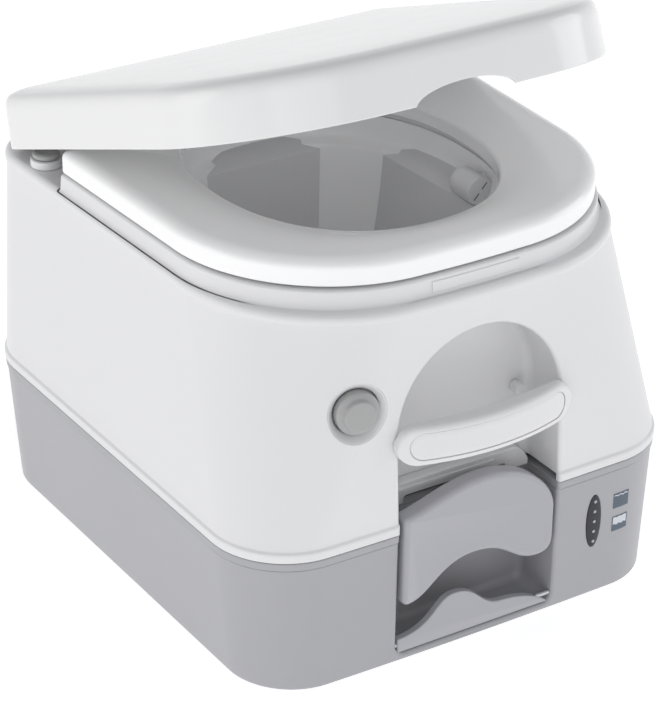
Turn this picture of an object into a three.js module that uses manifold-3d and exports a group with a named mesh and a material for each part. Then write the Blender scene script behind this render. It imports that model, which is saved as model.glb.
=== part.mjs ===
// Portable camp toilet: holding tank below, fresh-water unit with bowl, seat and lid above.
// Millimetres, +Z up, the front faces -Y, and the finished part stands on z = 0.
import * as THREE from 'three';
import { mergeVertices } from 'three/addons/utils/BufferGeometryUtils.js';
import Module from 'manifold-3d';

const wasm = await Module();
wasm.setup();

// ---- driving dimensions -------------------------------------------------------------------
const WALL = 3;
const underside = -3.5;
const GAP = 0.4;
const tankHeight = 105.6;
const bandHeight = 6;
const upperBottom = 106.2;
const rimHeight = 272.6;
const deckHeight = 280.5;
const plinthHeight = 294.2;
const seatBottom = 296;
const seatTop = 315.5;
const lidBottom = 283.5;
const lidTop = 328;
const lidRestAngle = 20.7;
const hinge = { y: 173.8, z: 287.6, knuckle: 6, pin: 2.9, bore: 3.3 };
const niche = { half: 70, back: -170, archCentre: 181, floor: 2 };
const throat = 44;
const draft = THREE.MathUtils.radToDeg(Math.atan(8.1 / 159.6));

// Plan outlines: boxes with rounded corners, a slightly bowed front, and narrower at the front by taper a side.
const footPlan = { half: 179.5, front: -210.5, rear: 206, frontR: 53, rearR: 53, bow: 1.5, taper: 0 };
const seamPlan = { half: 188.2, front: -211.3, rear: 211.3, frontR: 59, rearR: 59, bow: 1.5, taper: 0 };
const rimPlan = { half: 177.5, front: -203.2, rear: 207, frontR: 119, rearR: 44, bow: 1.5, taper: 5 };
const plinthPlan = { half: 176, front: -195.5, rear: 92, frontR: 126, rearR: 4, bow: 1, taper: 5 };
const seatPlan = { half: 175, front: -193, rear: 89, frontR: 128, rearR: 4, bow: 1, taper: 5 };
const lidPlan = { half: 180, front: -199.4, rear: 178.4, frontR: 118, rearR: 26, bow: 1, taper: 2 };

// ---- materials ----------------------------------------------------------------------------
const paint = (hex, roughness) => new THREE.MeshStandardMaterial({ color: hex, roughness });
const white = paint(0xe9e9ea, 0.3);
const grey = paint(0xa9abb0, 0.4);
const dark = paint(0x3c3d4b, 0.3);
const rubber = paint(0x2a2a2c, 0.8);
const steel = new THREE.MeshStandardMaterial({ color: 0xb8bcc0, roughness: 0.3, metalness: 1 });

const toilet = new THREE.Group();
toilet.name = 'portable_camp_toilet';

function add(name, geometry, material) {
  const mesh = new THREE.Mesh(geometry, material);
  mesh.name = name;
  toilet.add(mesh);
}

// ---- solid helpers ------------------------------------------------------------------------
function toSolid(geometry) {
  const bare = geometry.clone();
  bare.deleteAttribute('normal');
  bare.deleteAttribute('uv');
  const merged = mergeVertices(bare, 1e-4);
  return new wasm.Manifold(new wasm.Mesh({
    numProp: 3,
    vertProperties: new Float32Array(merged.attributes.position.array),
    triVerts: new Uint32Array(merged.index.array),
  }));
}

function toGeometry(solid) {
  const { vertProperties, triVerts } = solid.getMesh();
  const geometry = new THREE.BufferGeometry();
  geometry.setAttribute('position', new THREE.BufferAttribute(vertProperties, 3));
  geometry.setIndex(new THREE.BufferAttribute(triVerts, 1));
  geometry.computeVertexNormals();
  return geometry;
}

const join = (...parts) => toGeometry(parts.map(toSolid).reduce((a, b) => a.add(b)));
const cut = (body, ...tools) => toGeometry([body, ...tools].map(toSolid).reduce((a, b) => a.subtract(b)));
const common = (a, b) => toGeometry(toSolid(a).intersect(toSolid(b)));

// Left and right copies, and a stretch of x on one of the two sides.
const sides = [[-1, 'left'], [1, 'right']];
const span = (side, from, to) => (side < 0 ? [-to, -from] : [from, to]);

// ---- shape helpers ------------------------------------------------------------------------
const lerp = THREE.MathUtils.lerp;

// A plan part of the way between two others.
function between(low, high, t) {
  return Object.fromEntries(Object.keys(low).map((key) => [key, lerp(low[key], high[key], t)]));
}

// The points of a plan at height z, drawn in by inset, counter-clockwise from above.
function outline(plan, z, inset = 0) {
  const rearHalf = plan.half - inset;
  const frontHalf = rearHalf - plan.taper;
  const front = plan.front + inset;
  const rear = plan.rear - inset;
  const frontR = Math.max(plan.frontR - inset, 1);
  const rearR = Math.max(plan.rearR - inset, 1);
  const flat = frontHalf - frontR;
  const points = [];
  const corner = (cx, cy, radius, start, steps) => {
    for (let i = 0; i <= steps; i += 1) {
      const angle = start + (i / steps) * (Math.PI / 2);
      points.push(new THREE.Vector3(cx + radius * Math.cos(angle), cy + radius * Math.sin(angle), z));
    }
  };
  corner(-flat, front + frontR, frontR, Math.PI, 9);
  for (let i = 1; i < 6; i += 1) {
    const x = lerp(-flat, flat, i / 6);
    points.push(new THREE.Vector3(x, front - plan.bow * (1 - (x / flat) ** 2), z));
  }
  corner(flat, front + frontR, frontR, 1.5 * Math.PI, 9);
  corner(rearHalf - rearR, rear - rearR, rearR, 0, 5);
  corner(-rearHalf + rearR, rear - rearR, rearR, Math.PI / 2, 5);
  return points;
}

// An oval ring round (0, cy); power 2 is an ellipse and a larger power is squarer.
function oval(a, b, cy, z, power = 2, steps = 32) {
  return Array.from({ length: steps }, (_, i) => {
    const angle = Math.PI + (i / steps) * 2 * Math.PI;
    const c = Math.cos(angle);
    const s = Math.sin(angle);
    const x = a * Math.sign(c) * Math.abs(c) ** (2 / power);
    const y = b * Math.sign(s) * Math.abs(s) ** (2 / power);
    return new THREE.Vector3(x, cy + y, z);
  });
}

// A solid skinned over rings; the first and last rings are capped.
function loft(rings) {
  const count = rings[0].length;
  const points = rings.flat();
  const index = [];
  for (let i = 0; i + 1 < rings.length; i += 1) {
    for (let j = 0; j < count; j += 1) {
      const a = i * count + j;
      const b = i * count + ((j + 1) % count);
      index.push(a, b, b + count, a, b + count, a + count);
    }
  }
  const cap = (start, flip) => {
    const centre = new THREE.Vector3();
    for (let j = 0; j < count; j += 1) centre.addScaledVector(points[start + j], 1 / count);
    points.push(centre);
    for (let j = 0; j < count; j += 1) {
      const edge = [start + j, start + ((j + 1) % count)];
      if (flip) edge.reverse();
      index.push(points.length - 1, ...edge);
    }
  };
  cap(0, true);
  cap((rings.length - 1) * count, false);
  const geometry = new THREE.BufferGeometry().setFromPoints(points);
  geometry.setIndex(index);
  geometry.computeVertexNormals();
  return geometry;
}

function block(x0, x1, y0, y1, z0, z1) {
  const box = new THREE.BoxGeometry(x1 - x0, y1 - y0, z1 - z0);
  return box.translate((x0 + x1) / 2, (y0 + y1) / 2, (z0 + z1) / 2);
}

// A cylinder along +Z from z0 to z1.
function post(radius, x, y, z0, z1, sides = 24) {
  const body = new THREE.CylinderGeometry(radius, radius, z1 - z0, sides).rotateX(Math.PI / 2);
  return body.translate(x, y, (z0 + z1) / 2);
}

// The same along Y and along X.
const postY = (radius, x, z, y0, y1, sides = 24) => {
  const body = new THREE.CylinderGeometry(radius, radius, y1 - y0, sides);
  return body.translate(x, (y0 + y1) / 2, z);
};
const postX = (radius, y, z, x0, x1, sides = 20) => {
  const body = new THREE.CylinderGeometry(radius, radius, x1 - x0, sides).rotateZ(Math.PI / 2);
  return body.translate((x0 + x1) / 2, y, z);
};

// A solid turned about +Z from closed [radius, z] points, placed at (x, y).
function turned(profile, x, y, sides = 24) {
  const points = [...profile, profile[0]].map(([r, z]) => new THREE.Vector2(r, z));
  if (THREE.ShapeUtils.isClockWise(points)) points.reverse();
  return new THREE.LatheGeometry(points, sides).rotateX(Math.PI / 2).translate(x, y, 0);
}

const ringPost = (inner, outer, x, y, z0, z1, sides = 24) =>
  turned([[inner, z0], [outer, z0], [outer, z1], [inner, z1]], x, y, sides);

// An outline drawn in x and z, pushed from y0 back to y1.
function elevation(shape, y0, y1, curveSegments = 12) {
  const solid = new THREE.ExtrudeGeometry(shape, { depth: y1 - y0, bevelEnabled: false, curveSegments });
  return solid.rotateX(Math.PI / 2).translate(0, y1, 0);
}

// An outline drawn in y and z, pushed from x0 to x1.
function sideView(shape, x0, x1, curveSegments = 8) {
  const solid = new THREE.ExtrudeGeometry(shape, { depth: x1 - x0, bevelEnabled: false, curveSegments });
  const turn = new THREE.Matrix4().makeBasis(
    new THREE.Vector3(0, 1, 0), new THREE.Vector3(0, 0, 1), new THREE.Vector3(1, 0, 0));
  return solid.applyMatrix4(turn).translate(x0, 0, 0);
}

const polygon = (points) => new THREE.Shape(points.map(([x, y]) => new THREE.Vector2(x, y)));

// A bar with round ends, length along x, centred on (x, z).
function capsule(halfLength, halfHeight, x = 0, z = 0) {
  const shape = new THREE.Shape();
  const straight = halfLength - halfHeight;
  shape.absarc(x + straight, z, halfHeight, -Math.PI / 2, Math.PI / 2);
  shape.absarc(x - straight, z, halfHeight, Math.PI / 2, 1.5 * Math.PI);
  return shape;
}

// The front recess: straight sides under a half-round arch.
function nicheShape(grow) {
  const half = niche.half + grow;
  const shape = new THREE.Shape();
  shape.moveTo(-half, upperBottom - 10);
  shape.lineTo(half, upperBottom - 10);
  shape.lineTo(half, niche.archCentre);
  shape.absarc(0, niche.archCentre, half, 0, Math.PI);
  return shape;
}

// Turns a piece that was built upright to lie along the sloping front face.
function lean(geometry, y, z) {
  return geometry.translate(0, -y, -z).rotateX(-THREE.MathUtils.degToRad(draft)).translate(0, y, z);
}

// ---- holding tank -------------------------------------------------------------------------
const bandBottom = tankHeight - bandHeight;
const tankPlan = (z) => between(footPlan, seamPlan, (z - underside) / (bandBottom - underside));
const spout = { x: -100, z: 52, wall: 178 };

function tankShell() {
  const edge = 2.5;
  const floor = underside + WALL;
  const foot = [0, 45, 90].map((degrees) => {
    const angle = THREE.MathUtils.degToRad(degrees);
    const z = underside + edge * (1 - Math.cos(angle));
    return outline(tankPlan(z), z, edge * (1 - Math.sin(angle)));
  });
  const rim = bandBottom - GAP;
  const outer = [...foot, outline(tankPlan(rim), rim)];
  const body = loft([
    ...outer,
    outline(tankPlan(rim), rim, WALL),
    outline(tankPlan(floor + edge), floor + edge, WALL),
    outline(tankPlan(floor), floor, WALL + edge),
  ]);
  const liner = join(
    block(-niche.half - WALL, niche.half + WALL, -230, niche.back + WALL, floor - 1, rim),
    block(spout.x - 53, spout.x + 53, spout.wall - WALL, 230, 5, rim),
  );
  const lined = join(body, common(liner, loft(outer)));
  return cut(
    lined,
    block(-niche.half, niche.half, -240, niche.back, niche.floor, rim + 1),
    block(spout.x - 50, spout.x + 50, spout.wall, 240, 8, rim + 1),
    block(-9, 9, niche.back - 1, niche.back + WALL + 1, 86, 94),
    postY(26, spout.x, spout.z, spout.wall - WALL - 1, spout.wall + 1),
    elevation(gaugeShape(GAP), -230, -190, 10),
  );
}

function gaugeShape(grow) {
  const shape = new THREE.Shape();
  shape.absellipse(106, 61, 6.8 + grow, 22.5 + grow, 0, 2 * Math.PI);
  return shape;
}

const vent = { x: 128, y: 150 };

function tankTop() {
  const plate = loft([outline(seamPlan, bandBottom, -1), outline(seamPlan, tankHeight, -1)]);
  return cut(
    plate,
    block(-niche.half, niche.half, -240, niche.back, bandBottom - 1, tankHeight + 1),
    post(throat, 0, 0, bandBottom - 1, tankHeight + 1, 32),
    post(6.4, vent.x, vent.y, bandBottom - 1, tankHeight + 1, 16),
  );
}

add('tank_shell', tankShell(), grey);
add('tank_top', tankTop(), grey);
add('level_gauge', elevation(gaugeShape(0), -212.2, -205, 10), dark);

// ---- gate valve under the tank top --------------------------------------------------------
const blade = { z0: 88, z1: 92, half: 50 };

function valveFrame() {
  return cut(
    block(-60, 60, -166, 62, 82, bandBottom - GAP),
    post(throat, 0, 0, 80, 101, 32),
    block(-52, 52, -160, 56, 86, 94),
    block(-10, 10, -168, -158, 86, 94),
  );
}

function valveBlade() {
  const shape = new THREE.Shape();
  shape.moveTo(-blade.half, -blade.half);
  shape.lineTo(blade.half, -blade.half);
  shape.absarc(0, 0, blade.half, 0, Math.PI);
  return new THREE.ExtrudeGeometry(shape, { depth: 4, bevelEnabled: false, curveSegments: 16 })
    .translate(0, 0, blade.z0);
}

// The pull is an arched grip with a broad bevel; its left leg reaches a little lower than its right.
function valvePull() {
  const bevel = 4;
  const shape = new THREE.Shape();
  shape.moveTo(-67, 45);
  shape.bezierCurveTo(-44, 42, -38, 71, -6, 71);
  shape.bezierCurveTo(26, 71, 30, 50, 52, 50);
  shape.quadraticCurveTo(66, 50, 66, 64);
  shape.lineTo(66, 90);
  shape.bezierCurveTo(64, 112, 36, 132, 6, 133);
  shape.bezierCurveTo(-24, 134, -44, 122, -67, 118);
  const grip = new THREE.ExtrudeGeometry(shape, {
    depth: 16 - 2 * bevel, bevelThickness: bevel, bevelSize: bevel, bevelOffset: -bevel,
    bevelSegments: 2, curveSegments: 6,
  });
  return grip.rotateX(Math.PI / 2).translate(0, -200 - bevel, 0);
}

add('valve_frame', valveFrame(), grey);
add('valve_blade', valveBlade(), dark);
add('valve_stem', block(-7, 7, -199.6, -blade.half - GAP, blade.z0, blade.z1), dark);
add('valve_pull', valvePull(), grey);

// ---- tank carrying handle in the niche ----------------------------------------------------
const fold = { y: -207.4, z: 8.6 };

function tankHandle() {
  const shape = new THREE.Shape();
  shape.moveTo(-68, 2.8);
  shape.lineTo(68, 2.8);
  shape.quadraticCurveTo(50, 17, 22, 18);
  shape.bezierCurveTo(6, 19, 2, 38.5, -18, 38.5);
  shape.bezierCurveTo(-36, 38.5, -34, 16, -68, 14.4);
  return cut(elevation(shape, -210.4, -204.4, 5), postX(2.3, fold.y, fold.z, -69, -50, 12),
    postX(2.3, fold.y, fold.z, 36, 69, 12));
}

add('tank_handle', tankHandle(), grey);
for (const [side, name] of sides) {
  add(`tank_handle_pin_${name}`, postX(2, fold.y, fold.z, ...span(side, 57, 69.6), 12), steel);
}

// ---- emptying spout at the rear -----------------------------------------------------------
// Built standing on +Z, then laid along +Y at the spout.
const spoutPiece = (geometry) => geometry.rotateX(-Math.PI / 2).translate(spout.x, 0, spout.z);

function spoutCap() {
  const cup = turned([[0, 203], [38, 203], [38, 188], [34.5, 188], [34.5, 199.6], [0, 199.6]], 0, 0, 28);
  return spoutPiece(join(cup, block(-30, 30, -4, 4, 202, 210)));
}

add('spout_neck', spoutPiece(ringPost(27, 32, 0, 0, spout.wall + GAP, 196, 28)), grey);
add('spout_cap', spoutCap(), dark);
add('spout_seal', spoutPiece(ringPost(27, 33, 0, 0, 196.4, 199.2, 28)), rubber);

// ---- pressure vent on the tank top --------------------------------------------------------
add('vent_cup', turned([[0, 84], [10, 84], [10, 99.2], [6.6, 99.2], [6.6, 86], [0, 86]],
  vent.x, vent.y, 16), grey);
add('vent_button', post(6, vent.x, vent.y, 98, 110.8, 16), dark);
add('vent_spring', ringPost(3, 5, vent.x, vent.y, 86.4, 97.6, 16), steel);

// ---- rear latch ---------------------------------------------------------------------------
const latch = { y: 215.4, z: 68 };

function latchBracket() {
  const base = block(-23, 23, latch.y - 5.2, latch.y - 3.5, 58, 78);
  const lug = (x0) => block(x0, x0 + 5, latch.y - 5.2, latch.y + 3.5, 61, 75);
  return cut(join(base, lug(-23), lug(18)), postX(1.8, latch.y, latch.z, -24, 24, 12));
}

function latchLever() {
  const inner = latch.y - 1.8;
  const outer = latch.y + 1.2;
  const side = polygon([
    [inner, 68], [outer, 68], [outer, 119], [inner - 0.8, 119], [inner - 0.8, 114.2], [inner, 113.4],
  ]);
  const lever = join(sideView(side, -17.4, 17.4), postX(2.9, latch.y, latch.z, -17.4, 17.4, 16));
  return cut(lever, postX(1.8, latch.y, latch.z, -18, 18, 12));
}

add('latch_bracket', latchBracket(), grey);
add('rear_latch', latchLever(), grey);
add('latch_pin', postX(1.5, latch.y, latch.z, -22.8, 22.8, 12), steel);

// ---- fresh-water housing ------------------------------------------------------------------
const button = { x: -102, y: -204.8, z: 209, hole: 22.9, turn: 13 };

// The outer skin of the housing, from its flange up to the rim.
const housingSkin = [
  outline(seamPlan, upperBottom, -1.8),
  outline(seamPlan, 113, -1.8),
  outline(seamPlan, 113.8),
  outline(rimPlan, rimHeight),
];

// Lays a piece built on +Z along the button's axis, which points inwards at the rounded front corner.
function buttonPiece(geometry) {
  const { degToRad } = THREE.MathUtils;
  return geometry.rotateX(-Math.PI / 2 - degToRad(draft)).rotateZ(-degToRad(button.turn))
    .translate(button.x, button.y, button.z);
}

function upperHousing() {
  const floor = upperBottom + 6 + WALL;
  const shell = loft([
    ...housingSkin,
    outline(rimPlan, rimHeight, WALL),
    outline(seamPlan, floor, WALL),
  ]);
  const skirtSpace = loft([outline(seamPlan, 100, WALL), outline(seamPlan, floor - WALL, WALL)]);
  const liner = common(elevation(nicheShape(WALL), -230, niche.back + WALL), loft(housingSkin));
  const hull = join(cut(shell, skirtSpace), liner);
  return cut(
    hull,
    elevation(nicheShape(0), -240, niche.back),
    post(51, 0, 0, floor - WALL - 1, floor + 1, 32),
    buttonPiece(post(button.hole, 0, 0, -30, 12, 28)),
  );
}

// ---- carrying handle of the upper unit ----------------------------------------------------
const handle = { y: -209.6, z: 178, half: 75.5, tall: 15, bulge: 15.5 };

// The strap seen from above: pads on the face, the middle standing clear for the fingers.
function strap(front, back, pad) {
  const shape = new THREE.Shape();
  shape.moveTo(-handle.half, front);
  shape.quadraticCurveTo(0, front - 2 * handle.bulge, handle.half, front);
  shape.lineTo(handle.half, back);
  shape.lineTo(pad, back);
  shape.quadraticCurveTo(0, back - 2 * (handle.bulge - 9), -pad, back);
  shape.lineTo(-handle.half, back);
  return new THREE.ExtrudeGeometry(shape, { depth: 60, bevelEnabled: false, curveSegments: 14 })
    .translate(0, 0, handle.z - 30);
}

// The front skin of the strap between two depths.
function strapSkin(front, depth) {
  const shape = new THREE.Shape();
  shape.moveTo(-handle.half, front);
  shape.quadraticCurveTo(0, front - 2 * handle.bulge, handle.half, front);
  shape.lineTo(handle.half, front + depth);
  shape.quadraticCurveTo(0, front + depth - 2 * handle.bulge, -handle.half, front + depth);
  return new THREE.ExtrudeGeometry(shape, { depth: 60, bevelEnabled: false, curveSegments: 14 })
    .translate(0, 0, handle.z - 30);
}

function carryHandle() {
  const band = common(
    strap(handle.y - 5.5, handle.y + 0.4, 66),
    elevation(capsule(handle.half, handle.tall, 0, handle.z), -260, -200, 8),
  );
  const pocket = common(
    strapSkin(handle.y - 7, 2.7),
    elevation(capsule(67.4, 10.4, 0, handle.z), -260, -200, 8),
  );
  return lean(cut(band, pocket), handle.y, handle.z);
}

function handleInlay() {
  const panel = common(
    strapSkin(handle.y - 5.7, 1),
    elevation(capsule(67, 10, 0, handle.z), -260, -200, 8),
  );
  return lean(panel, handle.y, handle.z);
}

add('upper_housing', upperHousing(), white);
add('carry_handle', carryHandle(), white);
add('handle_inlay', handleInlay(), white);

// A ledge low on the niche's back wall, arched over the valve stem, and a plug beside it.
function nicheLedge() {
  const bar = block(-66, 66, -180, niche.back - GAP, 107, 125);
  return cut(bar, block(-45, 45, -190, -160, 100, 113.5));
}

add('niche_ledge', nicheLedge(), white);
add('niche_plug', postY(4.5, 57, 172, -179, niche.back - GAP, 16), white);

// ---- deck ---------------------------------------------------------------------------------
const pump = { x: -162, y: 137 };
const filler = { x: 150, y: 137 };
const neck = { half: 98, rear: 158 };
const opening = { y: -19, power: 2.2 };
const openingRing = (a, b, z, power = opening.power) => oval(a, b, opening.y, z, power);

function deck() {
  const lip = loft([
    outline(rimPlan, deckHeight - WALL, 5),
    outline(rimPlan, rimHeight + GAP, WALL),
    outline(rimPlan, rimHeight + GAP, -1.2),
    outline(rimPlan, rimHeight + 6.3, -1.2),
    outline(rimPlan, deckHeight, 3),
  ]);
  const raised = join(
    lip,
    loft([outline(plinthPlan, deckHeight - 1), outline(plinthPlan, plinthHeight, 1.5)]),
    block(-neck.half, neck.half, 80, neck.rear, deckHeight - 1, plinthHeight),
  );
  return cut(
    raised,
    loft([outline(plinthPlan, deckHeight - 9, WALL), outline(plinthPlan, plinthHeight - WALL, WALL + 1.5)]),
    block(WALL - neck.half, neck.half - WALL, 70, neck.rear - WALL, deckHeight - 9, plinthHeight - WALL),
    loft([openingRing(114, 130, 280), openingRing(114, 130, 300)]),
    post(9.7, pump.x, pump.y, 260, 290, 20),
    post(18.2, filler.x, filler.y, 260, 290, 24),
  );
}

function deckClip() {
  const outerFace = loft([outline(plinthPlan, 270, -1.6), outline(plinthPlan, 300, -0.1)]);
  const innerFace = loft([outline(plinthPlan, 269, -0.4), outline(plinthPlan, 301, 1.1)]);
  return common(cut(outerFace, innerFace), block(-37, 37, -210, -150, 283, 291));
}

add('deck', deck(), white);
add('deck_clip', deckClip(), white);

// ---- bowl and its seal --------------------------------------------------------------------
// Inner surface from the top edge down to the outlet: half width, half length, centre y, z, power.
const bowlSections = [
  [112.5, 128.5, opening.y, plinthHeight - WALL - GAP, 2.2],
  [110.5, 126.5, opening.y, 273, 2.2],
  [104, 119, opening.y, 268, 2.2],
  [98, 112, -17, 238, 2.2],
  [84, 92, -12, 190, 2.1],
  [60, 64, -5, 145, 2],
  [throat, throat, 0, 124, 2],
  [throat, throat, 0, 111.8, 2],
];

const nozzle = { radius: 11.5, y: -54, z: 277 };

function bowl() {
  const wall = 2.5;
  const top = bowlSections[0][3];
  const inner = bowlSections.map(([a, b, cy, z, power]) => oval(a, b, cy, z, power));
  const outer = bowlSections.map(([a, b, cy, z, power]) => oval(a + wall, b + wall, cy, z, power));
  const shell = loft([
    ...outer.slice(1).reverse(),
    openingRing(115, 131, top - 3),
    openingRing(122, 138, top - 3),
    openingRing(122, 138, top),
  ]);
  const hollow = loft([
    oval(throat, throat, 0, 105, 2),
    ...inner.slice(0, -1).reverse(),
    openingRing(112.5, 128.5, top + 5),
  ]);
  return cut(shell, hollow, postX(nozzle.radius + 0.4, nozzle.y, nozzle.z, 85, 135, 10));
}

add('bowl', bowl(), white);
add('throat_seal', ringPost(45, 50.5, 0, 0, tankHeight + GAP, 111.4, 32), rubber);
add('spray_nozzle', postX(nozzle.radius, nozzle.y, nozzle.z, 84, 118, 10), white);
add('nozzle_nut', postX(9, nozzle.y, nozzle.z, 118.4, 126, 6), grey);

// ---- flush button, valve and tube ---------------------------------------------------------
// A dished cup whose mouth follows the housing's skin.
function buttonCup() {
  const cup = turned([[4.2, 14], [17.2, 14], [17.2, 6.5], [21.4, -6], [22.5, -6], [22.5, 16], [4.2, 16]],
    0, 0, 28);
  return common(buttonPiece(cup), loft(housingSkin));
}

add('button_cup', buttonCup(), white);
add('flush_button', buttonPiece(turned(
  [[0, -4.5], [11, -4.5], [12.4, -3.4], [12.4, -0.8], [16, 0.6], [16.6, 1.6], [16.6, 7], [0, 7]],
  0, 0, 28)), grey);
add('button_spring', buttonPiece(ringPost(4.4, 6.4, 0, 0, 7.3, 13.7, 16)), steel);
add('button_stem', buttonPiece(post(3.2, 0, 0, 7.4, 32, 12)), grey);
add('flush_valve', buttonPiece(turned([[3.8, 16.4], [12, 16.4], [12, 42], [0, 42], [0, 39.5],
  [3.8, 39.5]], 0, 0, 16)), grey);

function flushTube() {
  const path = new THREE.CatmullRomCurve3([
    new THREE.Vector3(-93.8, -161.9, 210.8),
    new THREE.Vector3(-91.5, -153.5, 213),
    new THREE.Vector3(-84, -151, 234),
    new THREE.Vector3(-44, -154, 253),
    new THREE.Vector3(34, -154, 254),
    new THREE.Vector3(98, -126, 258),
    new THREE.Vector3(132, -84, 270),
    new THREE.Vector3(134, -62, 276.5),
    new THREE.Vector3(129.8, nozzle.y, nozzle.z),
  ]);
  const section = new THREE.Shape().absarc(0, 0, 3.5, 0, 2 * Math.PI);
  return new THREE.ExtrudeGeometry(section, {
    steps: 24, extrudePath: path, bevelEnabled: false, curveSegments: 4,
  });
}

add('flush_tube', flushTube(), rubber);

// ---- hand pump, rear left -----------------------------------------------------------------
const collarTop = deckHeight + 6.5;
add('pump_barrel', turned([[0, 150], [9.2, 150], [9.2, collarTop - 3], [7.4, collarTop - 3], [7.4, 152.5],
  [0, 152.5]], pump.x, pump.y, 20), white);
add('pump_collar', turned([[9.6, deckHeight + GAP], [12.3, deckHeight + GAP], [12.3, collarTop],
  [3.4, collarTop], [3.4, collarTop - 2.5], [9.6, collarTop - 2.5]], pump.x, pump.y, 24), white);
add('pump_knob', turned([[0, collarTop + 0.5], [10.4, collarTop + 0.5], [10.4, collarTop + 4],
  [9, collarTop + 5.2], [0, collarTop + 5.2]], pump.x, pump.y, 24), grey);
add('pump_rod', post(3, pump.x, pump.y, 172.3, collarTop + 0.2, 12), steel);
add('pump_piston', post(7, pump.x, pump.y, 166, 172, 20), rubber);

// ---- fresh-water filler, rear right -------------------------------------------------------
const neckTop = deckHeight + 7;

function fillerCap() {
  const skirt = turned([[18.2, deckHeight + 1], [21, deckHeight + 1], [21, neckTop + 5], [0, neckTop + 5],
    [0, neckTop + 2.4], [18.2, neckTop + 2.4]], 0, 0, 28);
  return join(skirt, block(-16, 16, -2.5, 2.5, neckTop + 4, neckTop + 11)).translate(filler.x, filler.y, 0);
}

add('filler_neck', ringPost(14.8, 17.8, filler.x, filler.y, 243.5, neckTop, 24), white);
add('filler_seal', ringPost(11, 17.8, filler.x, filler.y, neckTop + 0.3, neckTop + 2.1, 24), rubber);
add('filler_cap', fillerCap(), grey);

// ---- hinge --------------------------------------------------------------------------------
// A knuckle round the hinge pin with an arm through the given points, measured from the pin.
function knuckle(points, x0, x1) {
  const arm = sideView(polygon(points.map(([y, z]) => [hinge.y + y, hinge.z + z])), x0, x1);
  return join(arm, postX(hinge.knuckle, hinge.y, hinge.z, x0, x1));
}

const pinHole = (x0, x1) => postX(hinge.bore, hinge.y, hinge.z, x0 - 1, x1 + 1);
const footing = deckHeight + GAP - hinge.z;

for (const [side, name] of sides) {
  const [x0, x1] = span(side, 60, 72);
  const foot = [[-15, footing], [9, footing], [5, 3], [-5, 3], [-15, footing + 3.5]];
  add(`hinge_block_${name}`, cut(knuckle(foot, x0, x1), pinHole(x0, x1)), white);
  add(`hinge_pin_${name}`, postX(hinge.pin, hinge.y, hinge.z, ...span(side, 58.5, 100.4)), steel);
}

// ---- seat ---------------------------------------------------------------------------------
// The top is dished towards an egg-shaped hole.
const holeCutter = loft([
  openingRing(109, 125.5, 280),
  openingRing(109, 125.5, seatTop - 10),
  openingRing(112, 129, seatTop - 6.5),
  openingRing(129, 147, seatTop - 3.4, 2.3),
  openingRing(152, 170, seatTop + 1, 2.6),
]);
const seatArm = [[-26, 12], [-8, 6], [-6, -2], [2, -2.5], [5.5, 3], [-3, 11], [-9, 23.9], [-26, 23.9]];

function seat() {
  const neckBoard = block(-80, 80, 70, 160, seatBottom + 3.5, seatTop - 4);
  const board = loft([
    outline(seatPlan, seatBottom, 3),
    outline(seatPlan, seatBottom + 3),
    outline(seatPlan, seatTop - 7),
    outline(seatPlan, seatTop - 2, 4),
    outline(seatPlan, seatTop, 12),
  ]);
  const pocket = cut(
    loft([outline(seatPlan, seatBottom - 1, 5), outline(seatPlan, seatTop - 8, 6)]),
    loft([openingRing(113, 129.5, 285), openingRing(113, 129.5, 318)]),
    loft([openingRing(129, 147, seatTop - 8.5, 2.3), openingRing(158, 176, seatTop - 4, 2.6)]),
    block(-200, 200, 66, 120, 280, 320),
  );
  const arms = sides.map(([side]) => knuckle(seatArm, ...span(side, 73, 84)));
  const solid = join(cut(join(board, neckBoard), holeCutter), ...arms);
  return cut(solid, pocket, ...sides.map(([side]) => pinHole(...span(side, 73, 84))));
}

add('seat', seat(), white);
for (const [side, name] of sides) {
  const pad = block(...span(side, 118, 130), 72, 82, plinthHeight + 0.3, seatBottom - 0.3);
  add(`seat_pad_${name}`, pad, rubber);
}

// ---- lid, built shut and then opened to its rest angle --------------------------------------
function openLid(geometry) {
  const angle = -THREE.MathUtils.degToRad(lidRestAngle);
  return geometry.translate(0, -hinge.y, -hinge.z).rotateX(angle).translate(0, hinge.y, hinge.z);
}

const lidArm = [[-9, 8], [-6, -2], [2, -2], [3, 8], [1.5, 34], [-9, 34]];

function lid() {
  const shell = loft([
    outline(lidPlan, lidTop - WALL, 19),
    outline(lidPlan, lidTop - 8 - WALL, 4.2),
    outline(lidPlan, lidBottom, WALL - 0.7),
    outline(lidPlan, lidBottom, -0.5),
    outline(lidPlan, lidTop - 9, 1.5),
    outline(lidPlan, lidTop - 4.5, 5),
    outline(lidPlan, lidTop - 1, 17),
    outline(lidPlan, lidTop, 60),
  ]);
  const fingerArch = new THREE.Shape();
  fingerArch.absellipse(0, lidBottom - 2, 42, 13, 0, Math.PI);
  const arms = sides.map(([side]) => knuckle(lidArm, ...span(side, 88, 99)));
  const open = cut(
    shell,
    block(-101, 101, hinge.y - 7, hinge.y + 12, lidBottom - 1, hinge.z + 11),
    elevation(fingerArch, -230, -190, 8),
  );
  return cut(join(open, ...arms), ...sides.map(([side]) => pinHole(...span(side, 88, 99))));
}

add('lid', openLid(lid()), white);
for (const [side, name] of sides) {
  const pad = block(...span(side, 80, 92), -150, -138, seatTop + 1.4, lidTop - WALL - 0.4);
  add(`lid_pad_${name}`, openLid(pad), rubber);
}

toilet.position.z = -underside;

export default toilet;
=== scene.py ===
"""Portable camp toilet: the looks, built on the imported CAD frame.

Lengths are millimetres in the part's drawing, where the tank's underside is at -3.5; LIFT
raises them to the floor and every mesh is stored in metres.
"""
import math
from collections import namedtuple

import bmesh
import bpy
from mathutils import Matrix, Vector


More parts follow.
